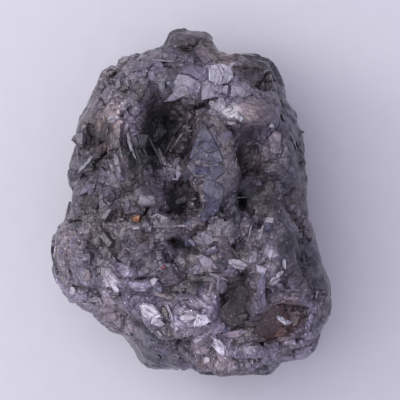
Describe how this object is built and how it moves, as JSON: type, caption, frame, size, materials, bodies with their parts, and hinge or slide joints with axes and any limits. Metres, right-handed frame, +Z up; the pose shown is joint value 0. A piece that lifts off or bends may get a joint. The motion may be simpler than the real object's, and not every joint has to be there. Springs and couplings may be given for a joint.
{
  "type": "rough diamond",
  "caption": "Uncut dark polycrystalline diamond: an irregular, rounded stone with a sugary crystal skin, two deep hollows beside a nose ridge, and a small knob at one end.",
  "frame": {"origin": "middle of the stone's box, at the level of the flat cleavage face that it rests on", "axes": "+Y along the longest side, towards the small knob; +Z up from the resting face; +X to the right"},
  "size_m": [0.0096, 0.012, 0.0073],
  "materials": {
    "dark_diamond": "dark grey with a lavender cast, glassy to greasy gloss, brown and pale grains"
  },
  "bodies": {
    "root": {"rough_diamond": "dark_diamond"}
  },
  "joints": []
}
